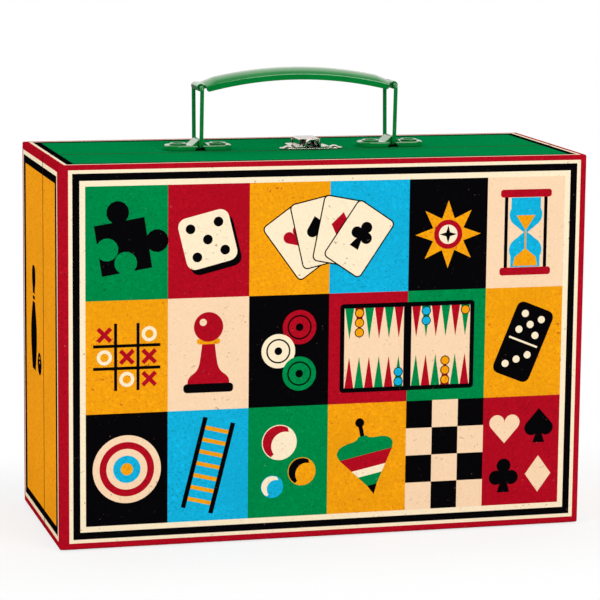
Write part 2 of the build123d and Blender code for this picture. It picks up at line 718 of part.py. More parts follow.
# Three columns of wells: decks, then tiles under draughtsmen, then dice under pawns
deck_well_w = deck_w + 2 * seat_gap
deck_well_h = deck_h + 2 * seat_gap
tile_well = tile_w + 2 * seat_gap
trough_w = 2 * (draught_r + seat_gap)
pawn_well = pawn_rank * pawn_pitch + 2 * seat_gap
dice_well_w = die_count * (die_w + seat_gap) + seat_gap
dice_well_h = die_w + 2 * seat_gap
deck_x, middle_x, right_x = spread([deck_well_w, 2 * tile_well + tile_gap, pawn_well], tray_w, 0)
deck_spots = [(deck_x, z) for z in spread([deck_well_h, deck_well_h], tray_h, tray_mid_z)]
tile_z, *draught_zs = spread([tile_well, trough_w, trough_w], tray_h, tray_mid_z)
draught_spots = [(middle_x, z) for z in draught_zs]
tile_spots = [(middle_x + side * (tile_well + tile_gap) / 2, tile_z) for side in (-1, 1)]
dice_z, pawns_z = spread([dice_well_h, pawn_well], tray_h, tray_mid_z)
pawn_shift = (pawn_rank - 1) / 2
pawn_places = [(right_x + (column - pawn_shift) * pawn_pitch, pawns_z + (row - pawn_shift) * pawn_pitch)
               for row in range(pawn_rank) for column in range(pawn_rank)]
wells = [(x, z, deck_well_w, deck_well_h, deck_back) for x, z in deck_spots]
wells += [(x, z, tile_well, tile_well, tile_back) for x, z in tile_spots]
wells += [(right_x, dice_z, dice_well_w, dice_well_h, dice_back)]
wells += [(right_x, pawns_z, pawn_well, pawn_well, pawn_back - socket_depth)]


def sink_wells(grow, mode):
    """All wells of the insert, each enlarged by grow and sunk from the face."""
    for x, z, width, height, back in wells:
        with BuildSketch(at_y(tray_face)) as well:
            with Locations((x, z)):
                RectangleRounded(width + 2 * grow, height + 2 * grow, well_r + grow)
        extrude(well.sketch, amount=tray_face - back - grow, mode=mode)
    trough_len = draught_count * draught_t + 2 * (seat_gap + grow)
    trough_r = trough_w / 2 + grow
    for x, z in draught_spots:
        with Locations(Location((x, draught_axis_y, z), (0, 90, 0))):
            Cylinder(trough_r, trough_len, mode=mode)
        with Locations((x, draught_axis_y, z)):
            Box(trough_len, draught_axis_y - tray_face, 2 * trough_r,
                align=(Align.CENTER, Align.MAX, Align.CENTER), mode=mode)
    for x, z in pawn_places:
        with Locations(Location((x, pawn_back + grow, z), (90, 0, 0))):
            Cylinder(pawn_r + seat_gap + grow, socket_depth + grow,
                     align=(Align.CENTER, Align.CENTER, Align.MIN), mode=mode)


with BuildPart() as insert_tray:
    for shrink, start, mode in ((0, 0, Mode.ADD), (tray_sheet, tray_sheet, Mode.SUBTRACT)):
        with BuildSketch(at_y(tray_face + start)):
            with Locations((0, tray_mid_z)):
                RectangleRounded(tray_w - 2 * shrink, tray_h - 2 * shrink, tray_corner_r - shrink)
        extrude(amount=-tray_depth, mode=mode)
    sink_wells(tray_sheet, Mode.ADD)
    with BuildSketch(at_y(tray_face)):
        with Locations((0, tray_mid_z)):
            Rectangle(case_w, case_h)
    extrude(amount=draught_r, mode=Mode.SUBTRACT)
    sink_wells(0, Mode.SUBTRACT)
save(insert_tray, "insert_tray")

# Card decks in their tuck boxes, with a thumb notch
for name, (x, z) in zip(("playing_cards", "family_cards"), deck_spots):
    with BuildPart() as deck:
        with BuildSketch(at_y(deck_back)):
            with Locations((x, z)):
                RectangleRounded(deck_w, deck_h, well_r)
        extrude(amount=deck_t)
        with Locations(Location((x, deck_back - deck_t, z + deck_h / 2), (90, 0, 0))):
            Cylinder(thumb_r, 2 * thumb_depth, mode=Mode.SUBTRACT)
    save(deck, name)

# Memory tiles in two stacks
with BuildPart() as tile:
    with BuildSketch(Plane.XZ):
        RectangleRounded(tile_w, tile_w, well_r)
    extrude(amount=tile_t - stack_gap)
save(placed(tile, [(x, tile_back - index * tile_t, z) for x, z in tile_spots
                   for index in range(tile_count)]), "memory_tiles")

# Draughtsmen: turned discs with eased rims
with BuildPart() as draught:
    with BuildSketch(Plane.XY):
        Circle(draught_r)
    extrude(amount=draught_t - stack_gap)
    chamfer(draught.edges(), draught_chamfer)
for name, (x, z) in zip(("draughts_light", "draughts_dark"), draught_spots):
    with BuildPart() as row_of_discs:
        first_x = x - draught_count * draught_t / 2 + seat_gap / 2
        with Locations(*[Location((first_x + index * draught_t, draught_axis_y, z), (0, 90, 0))
                         for index in range(draught_count)]):
            add(draught.part)
    save(row_of_discs, name)

# Dice
with BuildPart() as die:
    Box(die_w, die_w, die_w)
    chamfer(die.edges(), die_bevel)
die_xs = [right_x + (index - (die_count - 1) / 2) * (die_w + seat_gap) for index in range(die_count)]
save(placed(die, [(x, dice_back - die_w / 2, dice_z) for x in die_xs]), "dice")

# Pawns: turned, with a flared foot and a round head
with BuildPart() as pawn:
    with BuildSketch(Plane.XZ):
        with BuildLine():
            ball_z = pawn_h - pawn_head_r
            neck_angle = -acos(pawn_neck_r / pawn_head_r)
            band = (pi / 2 - neck_angle) / pawn_head_bands
            angles = [neck_angle + index * band for index in range(pawn_head_bands)]
            ball = [(pawn_head_r * cos(angle), ball_z + pawn_head_r * sin(angle)) for angle in angles]
            Polyline((0, pawn_h), (0, 0), (pawn_r, 0), (pawn_r, pawn_foot_h),
                     (pawn_waist_r, pawn_waist_h), *ball, close=True)
        make_face()
    revolve(axis=Axis.Z)
for row, colour in enumerate(("red", "blue", "yellow", "green")):
    with BuildPart() as team:
        with Locations(*[Location((x, pawn_back, z), (90, 0, 0))
                         for x, z in pawn_places[pawn_rank * row:pawn_rank * (row + 1)]]):
            add(pawn.part)
    save(team, f"pawns_{colour}")
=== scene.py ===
"""Looks of the games compendium box: printed paper, enamelled and plated metal, cloth, card and wood.

Metres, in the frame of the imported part: +Z up, -Y the picture side. Print is drawn in millimetres.
"""
from math import atan2, cos, hypot, pi, radians, sin

import bmesh
import bpy
from mathutils import Matrix, Vector


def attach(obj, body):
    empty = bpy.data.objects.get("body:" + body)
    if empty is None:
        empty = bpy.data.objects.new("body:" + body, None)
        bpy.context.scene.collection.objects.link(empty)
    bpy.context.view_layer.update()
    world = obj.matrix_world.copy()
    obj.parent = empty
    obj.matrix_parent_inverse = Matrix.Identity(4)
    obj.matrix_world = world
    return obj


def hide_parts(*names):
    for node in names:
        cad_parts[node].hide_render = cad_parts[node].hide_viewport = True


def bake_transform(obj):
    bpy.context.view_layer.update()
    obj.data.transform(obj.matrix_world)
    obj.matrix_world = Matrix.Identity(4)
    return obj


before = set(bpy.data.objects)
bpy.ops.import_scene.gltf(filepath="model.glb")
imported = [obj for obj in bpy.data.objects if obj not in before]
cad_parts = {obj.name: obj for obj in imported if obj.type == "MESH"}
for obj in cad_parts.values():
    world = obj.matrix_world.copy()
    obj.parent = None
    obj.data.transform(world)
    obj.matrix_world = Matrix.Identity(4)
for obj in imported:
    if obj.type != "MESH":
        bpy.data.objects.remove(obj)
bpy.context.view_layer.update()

MM = 0.001
CASE_W, CASE_H = 300.0, 212.0
Y_FRONT, Y_BACK = -60.0, 60.0
LID_RIM, Y_SEAM, BASE_RIM = -10.3, -10.0, -9.7
RIM_SHADE = 0.9           # how far from the seam the wrap carries painted shade
CLOTH_TOP = 0.4           # the spine cloth's thickness; the case's printed faces start above it
INK = 0.015               # one layer of print over the one below


def srgb(red, green, blue):
    """A colour as a screen shows it, 0 to 255, as linear light."""
    def channel(value):
        value /= 255
        return value / 12.92 if value <= 0.04045 else ((value + 0.055) / 1.055) ** 2.4
    return (channel(red), channel(green), channel(blue), 1.0)


RED = srgb(174, 13, 32)
CREAM = srgb(249, 231, 198)
PEACH = srgb(246, 212, 175)
BLACK = srgb(7, 6, 8)
AMBER = srgb(239, 159, 15)
ORANGE = srgb(246, 161, 26)
BLUE = srgb(18, 175, 218)
GREEN = srgb(0, 134, 70)
INKS = {"red": RED, "cream": CREAM, "peach": PEACH, "black": BLACK, "amber": AMBER, "orange": ORANGE,
        "blue": BLUE, "green": GREEN}


# ---------------------------------------------------------------- materials
class Surface:
    """A principled material and the few nodes that give it grain, wear and relief."""

    def __init__(self, name, colour, roughness, **sockets):
        self.material = bpy.data.materials.new(name)
        self.material.use_nodes = True
        self.nodes = self.material.node_tree.nodes
        self.links = self.material.node_tree.links
        self.shader = self.nodes["Principled BSDF"]
        self.shader.inputs["Base Color"].default_value = colour
        self.shader.inputs["Roughness"].default_value = roughness
        for socket, value in sockets.items():
            self.shader.inputs[socket.replace("_", " ")].default_value = value
        self.place = self.nodes.new("ShaderNodeTexCoord").outputs["Object"]
        self.colour = colour
        self.relief = None

    def noise(self, size_mm, detail=2.0, stretch=(1, 1, 1)):
        """Noise with features of about that size, from 0 to 1."""
        texture = self.nodes.new("ShaderNodeTexNoise")
        texture.inputs["Scale"].default_value = 1 / (size_mm * MM)
        texture.inputs["Detail"].default_value = detail
        where = self.place
        if stretch != (1, 1, 1):
            mapping = self.nodes.new("ShaderNodeMapping")
            mapping.inputs["Scale"].default_value = stretch
            self.links.new(self.place, mapping.inputs["Vector"])
            where = mapping.outputs["Vector"]
        self.links.new(where, texture.inputs["Vector"])
        return texture.outputs["Fac"]

    def ramp(self, value, low, high, start=0.0, end=1.0):
        """Value between low and high, spread from start to end."""
        spread = self.nodes.new("ShaderNodeMapRange")
        spread.inputs["From Min"].default_value = low
        spread.inputs["From Max"].default_value = high
        spread.inputs["To Min"].default_value = start
        spread.inputs["To Max"].default_value = end
        self.links.new(value, spread.inputs["Value"])
        return spread.outputs["Result"]

    def math(self, operation, first, second):
        """First and second combined; either may be a number."""
        node = self.nodes.new("ShaderNodeMath")
        node.operation = operation
        for socket, value in zip(node.inputs, (first, second)):
            if isinstance(value, (int, float)):
                socket.default_value = value
            else:
                self.links.new(value, socket)
        return node.outputs["Value"]

    def axis(self, letter):
        """The object's own X, Y or Z."""
        node = self.nodes.new("ShaderNodeSeparateXYZ")
        self.links.new(self.place, node.inputs["Vector"])
        return node.outputs[letter]

    def tint(self, factor, colour):
        """Colour laid over what is there, by factor."""
        mix = self.nodes.new("ShaderNodeMix")
        mix.data_type = "RGBA"
        share, (below, above), result = mix.inputs[0], mix.inputs[6:8], mix.outputs[2]
        if isinstance(self.colour, bpy.types.NodeSocket):
            self.links.new(self.colour, below)
        else:
            below.default_value = self.colour
        if isinstance(colour, bpy.types.NodeSocket):
            self.links.new(colour, above)
        else:
            above.default_value = colour
        self.links.new(factor, share)
        self.colour = result
        self.links.new(self.colour, self.shader.inputs["Base Color"])

    def roughen(self, value, low, high):
        """Roughness that follows value from low to high."""
        self.links.new(self.ramp(value, 0.3, 0.7, low, high), self.shader.inputs["Roughness"])

    def crease_shade(self, reach_mm, low, high):
        """0 in the open and 1 where it is shut in: how much within reach is filled, spread over low to high openness;
        the mask for painted shade in hollows.
        """
        node = self.nodes.new("ShaderNodeAmbientOcclusion")
        node.samples = 8
        node.inputs["Distance"].default_value = reach_mm * MM
        return self.ramp(node.outputs["AO"], low, high)

    def ease_edges(self, radius_mm):
        """Edges that catch the light as if rounded to that radius."""
        node = self.nodes.new("ShaderNodeBevel")
        node.samples = 6
        node.inputs["Radius"].default_value = radius_mm * MM
        self.relief = node.outputs["Normal"]

    def bump(self, height, depth_mm, strength=1.0):
        """Relief of that depth over what is there."""
        node = self.nodes.new("ShaderNodeBump")
        node.inputs["Distance"].default_value = depth_mm * MM
        node.inputs["Strength"].default_value = strength
        self.links.new(height, node.inputs["Height"])
        if self.relief is not None:
            self.links.new(self.relief, node.inputs["Normal"])
        self.relief = node.outputs["Normal"]
        self.links.new(self.relief, self.shader.inputs["Normal"])


def shade(colour, factor):
    """A darker or lighter version of a colour."""
    return tuple(min(1.0, channel * factor) for channel in colour[:3]) + (1.0,)


def toward(colour, other, share):
    """A colour part of the way to another."""
    return tuple(a + (b - a) * share for a, b in zip(colour, other))


def add_print_grain(surface, colour, mottle, speck, depth=1.0):
    """Mottle of offset print at the scale of a millimetre, cloudy patches, dark specks and missed dots."""
    surface.tint(surface.ramp(surface.noise(1.3, 4.0), 0.50, 0.66, 0.0, 0.8 * depth), mottle)
    surface.tint(surface.ramp(surface.noise(1.9, 3.0), 0.54, 0.68, 0.0, 0.7 * depth), shade(colour, 1.22))
    surface.tint(surface.ramp(surface.noise(34.0, 3.0), 0.45, 0.72, 0.0, 0.5 * depth), shade(colour, 0.86))
    patches = surface.ramp(surface.noise(22.0, 2.0), 0.46, 0.58)
    specks = surface.ramp(surface.noise(1.8, 5.0), 0.66, 0.70)
    surface.tint(surface.math("MULTIPLY", patches, specks), speck)
    missed = surface.ramp(surface.noise(1.6, 4.0), 0.72, 0.75)
    surface.tint(surface.math("MULTIPLY", missed, surface.ramp(patches, 0.0, 1.0, 0.8, 0.2)),
                 toward(colour, srgb(236, 190, 170), 0.30))
    surface.bump(surface.noise(1.1, 3.0), 0.02, 0.35)


def print_ink(name, colour):
    """Offset-printed paper in one ink, matt: pale inks are the cleanest, and orange ones the most broken."""
    surface = Surface(f"print_{name}", colour, 0.6, Specular_IOR_Level=0.0)
    if name in ("cream", "peach"):
        add_print_grain(surface, colour, shade(colour, 0.7), srgb(190, 160, 130), 0.25)
    elif name in ("amber", "orange"):
        add_print_grain(surface, colour, srgb(226, 130, 22), srgb(186, 88, 24))
    else:
        add_print_grain(surface, colour, shade(colour, 0.7), shade(colour, 0.5))
    return surface.material


ink_materials = {name: print_ink(name, colour) for name, colour in INKS.items()}


def wrap_paper():
    """The case's wrap: red at every edge, with painted shade near the seam, where it turns in at the rims."""
    surface = Surface("wrap_paper", RED, 0.6, Specular_IOR_Level=0.0)
    add_print_grain(surface, RED, shade(RED, 0.7), shade(RED, 0.5))
    from_seam = surface.math("ABSOLUTE", surface.math("ADD", surface.axis("Y"), -Y_SEAM * MM), 0.0)
    # painted shade: the wrap close to the seam is darkened to stand for the shadow in the gap between the rims
    surface.tint(surface.math("LESS_THAN", from_seam, RIM_SHADE * MM), srgb(58, 16, 18))
    return surface.material


def board_core():
    """Grey recycled board with fibres."""
    surface = Surface("board_core", srgb(176, 168, 154), 0.9)
    surface.tint(surface.ramp(surface.noise(0.8, 4.0), 0.4, 0.7), srgb(128, 120, 108))
    surface.bump(surface.noise(0.6, 3.0), 0.06, 0.5)
    return surface.material


def lining_paper(name, colour):
    """Uncoated paper with a faint fibre."""
    surface = Surface(name, colour, 0.75)
    surface.tint(surface.ramp(surface.noise(3.0, 4.0), 0.45, 0.7, 0.0, 0.5), shade(colour, 0.9))
    surface.tint(surface.ramp(surface.noise(0.5, 2.0, (1, 1, 6)), 0.60, 0.72, 0.0, 0.5), shade(colour, 0.82))
    surface.bump(surface.noise(0.7, 3.0), 0.03, 0.4)
    return surface.material


def enamel():
    """Green stove enamel on pressed metal and wire: glossy, with a few dark chips and painted shade where it meets
    other parts.
    """
    surface = Surface("green_enamel", srgb(0, 126, 52), 0.10, Coat_Weight=1.0, Coat_IOR=1.65, Coat_Roughness=0.03)
    surface.tint(surface.ramp(surface.noise(9.0, 3.0), 0.40, 0.75, 0.0, 0.6), srgb(0, 142, 60))
    chips = surface.ramp(surface.noise(1.3, 4.0), 0.72, 0.74)
    surface.tint(surface.math("MULTIPLY", chips, surface.ramp(surface.noise(12.0, 2.0), 0.52, 0.6)),
                 srgb(10, 60, 36))
    # painted shade: darker green in hollows and where the metal meets the case or other parts
    surface.tint(surface.crease_shade(3.0, 0.75, 0.35), srgb(0, 62, 28))
    surface.ease_edges(0.25)
    surface.roughen(surface.noise(5.0, 3.0), 0.08, 0.14)
    surface.bump(surface.noise(5.0, 2.0), 0.02, 0.15)
    return surface.material


PLATE = srgb(236, 228, 220)


def plated_surface(name, colour, low, high):
    """Stamped metal with fine scratches, dulled patches and painted shade in its creases, as rough as low to high."""
    surface = Surface(name, colour, low, Metallic=1.0)
    surface.tint(surface.ramp(surface.noise(4.0, 3.0), 0.50, 0.80, 0.0, 0.35), shade(colour, 0.7))
    surface.tint(surface.ramp(surface.noise(0.5, 2.0, (1, 12, 1)), 0.66, 0.72, 0.0, 0.3), shade(colour, 0.5))
    # painted shade: dark in recesses and where the plate meets the case and the rivets
    surface.tint(surface.crease_shade(4.0, 0.65, 0.3), srgb(46, 38, 40))
    surface.ease_edges(0.35)
    surface.roughen(surface.noise(3.0, 3.0), low, high)
    surface.bump(surface.noise(0.5, 2.0, (1, 12, 1)), 0.003, 0.15)
    return surface


def lever_plate():
    """Bright plate, with painted shade on every face that looks downward, as inside the pressed channel."""
    surface = plated_surface("lever_plate", PLATE, 0.07, 0.16)
    facing = surface.nodes.new("ShaderNodeSeparateXYZ")
    surface.links.new(surface.nodes.new("ShaderNodeTexCoord").outputs["Normal"], facing.inputs["Vector"])
    # painted shade: faces whose normal points down are darkened, standing for the shade under and inside the lever
    surface.tint(surface.ramp(facing.outputs["Z"], -0.05, -0.3), srgb(52, 46, 48))
    return surface.material


def moulded(name, colour, roughness):
    """Plastic with a fine moulded grain."""
    surface = Surface(name, colour, roughness)
    surface.tint(surface.ramp(surface.noise(18.0, 3.0), 0.4, 0.7, 0.0, 0.5), toward(colour, CREAM, 0.04))
    surface.roughen(surface.noise(6.0, 3.0), roughness * 0.85, roughness * 1.15)
    surface.bump(surface.noise(0.7, 2.0), 0.03, 0.35)
    return surface.material


def turned_wood(name, colour, dark):
    """Small turned wooden pieces: long grain under wax or lacquer."""
    surface = Surface(name, colour, 0.35, Coat_Weight=0.3, Coat_Roughness=0.2)
    surface.tint(surface.ramp(surface.noise(1.0, 4.0, (1, 0.15, 1)), 0.45, 0.65, 0.0, 0.8), dark)
    surface.tint(surface.ramp(surface.noise(6.0, 2.0), 0.5, 0.8, 0.0, 0.5), shade(colour, 0.8))
    surface.bump(surface.noise(0.6, 3.0, (1, 0.15, 1)), 0.03, 0.4)
    return surface.material


def book_cloth():
    """Red book cloth: a plain weave of warp and weft."""
    surface = Surface("book_cloth", srgb(150, 18, 30), 0.8, Sheen_Weight=0.2)
    thread = 0.7
    warp, weft = (surface.math("SINE", surface.math("MULTIPLY", surface.axis(letter), 2 * pi / (thread * MM)), 0.0)
                  for letter in ("X", "Y"))
    weave = surface.math("MULTIPLY", warp, weft)
    surface.tint(surface.ramp(weave, -1.0, 1.0, 0.0, 0.8), srgb(104, 10, 20))
    surface.tint(surface.ramp(surface.noise(14.0, 3.0), 0.45, 0.7, 0.0, 0.4), srgb(120, 14, 24))
    surface.bump(surface.ramp(weave, -1.0, 1.0), 0.08, 0.5)
    return surface.material


def checked_board(name, first, second, square_mm):
    """A playing board printed in squares on the shelf side."""
    surface = Surface(name, first, 0.45, Coat_Weight=0.15, Coat_Roughness=0.3)
    checks = surface.nodes.new("ShaderNodeTexChecker")
    checks.inputs["Scale"].default_value = 1 / (square_mm * MM)
    surface.links.new(surface.place, checks.inputs["Vector"])
    surface.tint(checks.outputs["Fac"], second)
    surface.tint(surface.ramp(surface.noise(0.6, 3.0), 0.55, 0.75, 0.0, 0.4), BLACK)
    surface.bump(surface.noise(1.1, 3.0), 0.02, 0.35)
    return surface.material


nickel = plated_surface("nickel_plate", PLATE, 0.07, 0.16).material
steel = plated_surface("spring_steel", srgb(150, 152, 156), 0.22, 0.36).material
green_enamel = enamel()
lining = lining_paper("lining_paper", srgb(244, 226, 190))
NODE_LOOKS = {
    "base_board": board_core(), "lid_board": board_core(),
    "base_wrap": wrap_paper(), "lid_wrap": wrap_paper(),
    "base_lining": lining, "lid_lining": lining, "neck": lining_paper("neck_paper", srgb(238, 216, 178)),
    "bracket_left": green_enamel, "bracket_right": green_enamel, "bracket_eyelets": green_enamel,
    "bail_left": green_enamel, "bail_right": green_enamel, "grip": green_enamel,
    "eyelet_washers": steel, "striker_rivets": steel, "latch_spring": steel,
    "latch_plate": nickel, "latch_rivets": nickel, "latch_pin": nickel, "latch_lever": lever_plate(),
    "spring_rivet": nickel, "striker": nickel,
    "insert_tray": moulded("insert_plastic", srgb(30, 30, 34), 0.5),
    "chess_board": checked_board("chess_print", PEACH, BLACK, 24.5),
    "ludo_board": checked_board("ludo_print", CREAM, BLUE, 49.0),
    "rule_book": lining_paper("book_paper", srgb(238, 232, 216)),
    "playing_cards": print_ink("deck_red", srgb(170, 26, 40)),
    "family_cards": print_ink("deck_blue", srgb(28, 104, 168)),
    "memory_tiles": print_ink("tile_amber", AMBER),
    "draughts_light": turned_wood("maple", srgb(224, 186, 132), srgb(196, 150, 96)),
    "draughts_dark": turned_wood("ebonised", srgb(44, 30, 24), srgb(24, 16, 14)),
    "dice": moulded("dice_plastic", srgb(244, 236, 214), 0.2),
    "pawns_red": turned_wood("lacquer_red", RED, shade(RED, 0.8)),
    "pawns_blue": turned_wood("lacquer_blue", BLUE, shade(BLUE, 0.8)),
    "pawns_yellow": turned_wood("lacquer_yellow", AMBER, shade(AMBER, 0.8)),
    "pawns_green": turned_wood("lacquer_green", GREEN, shade(GREEN, 0.8)),
}
for node, material in NODE_LOOKS.items():
    for material_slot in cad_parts[node].material_slots:
        material_slot.material = material


# ---------------------------------------------------------------- outlines, in millimetres
def rectangle(width, height, x=0.0, y=0.0):
    return [(x - width / 2, y - height / 2), (x + width / 2, y - height / 2),
            (x + width / 2, y + height / 2), (x - width / 2, y + height / 2)]


def corners(x0, y0, x1, y1):
    return [(x0, y0), (x1, y0), (x1, y1), (x0, y1)]


def disc(radius, x=0.0, y=0.0, count=40):
    return [(x + radius * cos(2 * pi * i / count), y + radius * sin(2 * pi * i / count)) for i in range(count)]


def rounded(width, height, radius, x=0.0, y=0.0, count=6):
    """A rectangle with round corners; the radius is less than half its height."""
    outline = []
    for cx, cy, start in ((1, 1, 0), (-1, 1, 90), (-1, -1, 180), (1, -1, 270)):
        for i in range(count + 1):
            angle = radians(start + 90 * i / count)
            outline.append((x + cx * (width / 2 - radius) + radius * cos(angle),
                            y + cy * (height / 2 - radius) + radius * sin(angle)))
    return outline


def star(points, outer, inner):
    return [(r * sin(pi * i / points), r * cos(pi * i / points))
            for i, r in ((i, inner if i % 2 else outer) for i in range(2 * points))]


def turned(outline, degrees_left, x=0.0, y=0.0):
    """An outline turned to the left about the origin, then moved."""
    c, s = cos(radians(degrees_left)), sin(radians(degrees_left))
    return [(x + u * c - v * s, y + u * s + v * c) for u, v in outline]


def mirrored(half):
    """A closed outline from its right half, listed from the bottom to the top."""
    return half + [(-u, v) for u, v in reversed(half) if abs(u) > 1e-6]


def eased(points, rounds=3):
    """An open line with its corners cut to a smooth curve; its ends stay."""
    for _ in range(rounds):
        cut = [points[0]]
        for (u0, v0), (u1, v1) in zip(points, points[1:]):
            cut += [(0.75 * u0 + 0.25 * u1, 0.75 * v0 + 0.25 * v1), (0.25 * u0 + 0.75 * u1, 0.25 * v0 + 0.75 * v1)]
        points = cut + [points[-1]]
    return points


def arc(radius, start, end, x=0.0, y=0.0, count=12):
    """Points of an arc between two angles in degrees."""
    return [(x + radius * cos(radians(start + (end - start) * i / count)),
             y + radius * sin(radians(start + (end - start) * i / count))) for i in range(count + 1)]


# ---------------------------------------------------------------- printing
class Face:
    """A flat outside face of the case that takes print: millimetres across and up, ink standing outward."""

    def __init__(self, origin, across, up):
        self.origin = Vector(origin)
        self.across = Vector(across)
        self.up = Vector(up)
        self.outward = self.across.cross(self.up)

    def point(self, u, v, height):
        return (self.origin + self.across * u + self.up * v + self.outward * height) * MM


class Print:
    """All the ink that one body carries, gathered into one mesh of thin closed shapes."""

    def __init__(self, name, body):
        self.name = name
        self.body = body
        self.mesh = bmesh.new()
        self.inks = []

    def shape(self, face, ink, outline, layer):
        """A filled outline, printed over the layers below it."""
        if ink not in self.inks:
            self.inks.append(ink)
        below = [self.mesh.verts.new(face.point(u, v, -INK)) for u, v in outline]
        above = [self.mesh.verts.new(face.point(u, v, layer * INK)) for u, v in outline]
        count = len(outline)
        faces = [self.mesh.faces.new(above), self.mesh.faces.new(below[::-1])]
        faces += [self.mesh.faces.new((below[i], below[(i + 1) % count], above[(i + 1) % count], above[i]))
                  for i in range(count)]
        for new_face in faces:
            new_face.material_index = self.inks.index(ink)

    def finish(self, materials):
        """The mesh as one piece that rides on its body."""
        bmesh.ops.recalc_face_normals(self.mesh, faces=self.mesh.faces)
        data = bpy.data.meshes.new(self.name)
        self.mesh.to_mesh(data)
        self.mesh.free()
        for ink in self.inks:
            data.materials.append(materials[ink])
        piece = bpy.data.objects.new(self.name, data)
        bpy.context.scene.collection.objects.link(piece)
        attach(piece, self.body)


lid_print = Print("lid_print", "lid")
base_print = Print("base_print", "base")

front = Face((0, Y_FRONT, 0), (1, 0, 0), (0, 0, 1))
back = Face((0, Y_BACK, 0), (-1, 0, 0), (0, 0, 1))
left = Face((-CASE_W / 2, 0, 0), (0, -1, 0), (0, 0, 1))
right = Face((CASE_W / 2, 0, 0), (0, 1, 0), (0, 0, 1))
top = Face((0, 0, CASE_H), (1, 0, 0), (0, 1, 0))


def inset(box, left_gap, bottom_gap, right_gap, top_gap):
    """Corners of a box drawn in by the four gaps."""
    x0, y0, x1, y1 = box
    return (x0 + left_gap, y0 + bottom_gap, x1 - right_gap, y1 - top_gap)


def border(case_print, face, box, lines):
    """Mitred lines drawn inwards from a box, and the box they leave.

    Each line has an ink and its widths at the left, bottom, right and top; a width of nothing leaves
    that edge open."""
    for ink, widths in lines:
        inner = inset(box, *widths)
        outer_corners, inner_corners = corners(*box), corners(*inner)
        for i, width in enumerate((widths[1], widths[2], widths[3], widths[0])):
            if width:
                j = (i + 1) % 4
                case_print.shape(face, ink, [outer_corners[i], outer_corners[j],
                                             inner_corners[j], inner_corners[i]], 1)
        box = inner
    return box


def field(case_print, face, ink, box, lines):
    """A plain field inside its border lines."""
    case_print.shape(face, ink, corners(*border(case_print, face, box, lines)), 1)


# widths of a side face's red, cream and black lines along its top and foot, and at the end that is the front, the
# back or a rim
LEVEL_LINES = (3.0, 2.6, 4.4)
FRONT_END, BACK_END, OPEN_END = (3.0, 2.1, 5.0), (2.6, 1.8, 6.4), (0, 0, 0)


def side_lines(left_end, right_end):
    """Lines of a side face, with their widths at its two ends."""
    return [(ink, (at_left, level, at_right, level)) for ink, at_left, level, at_right in
            zip(("red", "cream", "black"), left_end, LEVEL_LINES, right_end)]


FOLD = 1.0                # the wrap itself shows this far from every edge
RIM_FOLD = 0.5            # and this far from the rims
low, high = CLOTH_TOP + FOLD, CASE_H - FOLD
lid_edge, base_edge = LID_RIM - RIM_FOLD, BASE_RIM + RIM_FOLD
picture_box = border(lid_print, front, (-CASE_W / 2 + FOLD, low, CASE_W / 2 - FOLD, high), (
    ("red", (4.3, 2.5, 2.5, 1.8)), ("cream", (2.2, 2.0, 2.1, 1.9)), ("black", (3.9,) * 4),
    ("cream", (3.1,) * 4)))
# the left face counts forwards, the right face and the top backwards
field(lid_print, left, "orange", (-lid_edge, low, -Y_FRONT - FOLD, high), side_lines(OPEN_END, FRONT_END))
field(base_print, left, "orange", (-Y_BACK + FOLD, low, -base_edge, high), side_lines(BACK_END, OPEN_END))
field(lid_print, right, "orange", (Y_FRONT + FOLD, low, lid_edge, high), side_lines(FRONT_END, OPEN_END))
field(base_print, right, "orange", (base_edge, low, Y_BACK - FOLD, high), side_lines(OPEN_END, BACK_END))
field(lid_print, top, "green", (-CASE_W / 2 + FOLD, Y_FRONT + FOLD, CASE_W / 2 - FOLD, lid_edge),
      (("red", (2.2, 0, 2.2, 0)), ("cream", (1.9, 2.0, 1.9, 0)), ("black", (4.2, 3.4, 4.2, 0))))
field(base_print, top, "green", (-CASE_W / 2 + FOLD, base_edge, CASE_W / 2 - FOLD, Y_BACK - FOLD),
      (("red", (2.2, 0, 2.2, 2.4)), ("cream", (1.9, 0, 1.9, 1.8)), ("black", (4.2, 0, 4.2, 6.0))))
field(base_print, back, "green", (-CASE_W / 2 + FOLD, low, CASE_W / 2 - FOLD, high),
      (("red", (3.0,) * 4), ("cream", (2.9,) * 4), ("black", (4.2,) * 4)))


# ---------------------------------------------------------------- the picture: eighteen tiles of game motifs
COLUMNS, ROWS = 6, 3
TILE_W = (picture_box[2] - picture_box[0]) / COLUMNS
TILE_H = (picture_box[3] - picture_box[1]) / ROWS
TILE_INKS = (
    ("green", "red", "amber", "blue", "black", "peach"),
    ("amber", "peach", "black", "red", "green", "amber"),
    ("black", "blue", "green", "amber", "peach", "red"),
)


def tile_middle(column, row):
    """Middle of a tile; half columns lie on the line between two tiles."""
    return (picture_box[0] + (column + 0.5) * TILE_W, picture_box[3] - (row + 0.5) * TILE_H)


class Motif:
    """Shapes printed round one point of a face, each ink over the ones before it."""

    def __init__(self, case_print, face, middle):
        self.case_print, self.face, self.middle = case_print, face, middle
        self.layer = 1

    def add(self, ink, *outlines):
        """Outlines that don't touch each other, in one layer of ink."""
        self.layer += 1
        x, y = self.middle
        for outline in outlines:
            self.case_print.shape(self.face, ink, [(u + x, v + y) for u, v in outline], self.layer)


def heart(size, x=0.0, y=0.0):
    """A heart whose tip is a size below its middle."""
    half = [(0, -size)] + arc(size * 0.5, -38, 180, size * 0.5, size * 0.32)
    return [(u + x, v + y) for u, v in mirrored(half)]


def diamond(size, x=0.0, y=0.0):
    return [(x, y - size * 1.1), (x + size * 0.8, y), (x, y + size * 1.1), (x - size * 0.8, y)]


def add_spade(motif, ink, size, x=0.0, y=0.0):
    motif.add(ink, [(x - u, y - v + size * 0.1) for u, v in heart(size * 0.95)])
    motif.add(ink, [(x - size * 0.4, y - size * 1.15), (x + size * 0.4, y - size * 1.15), (x, y)])


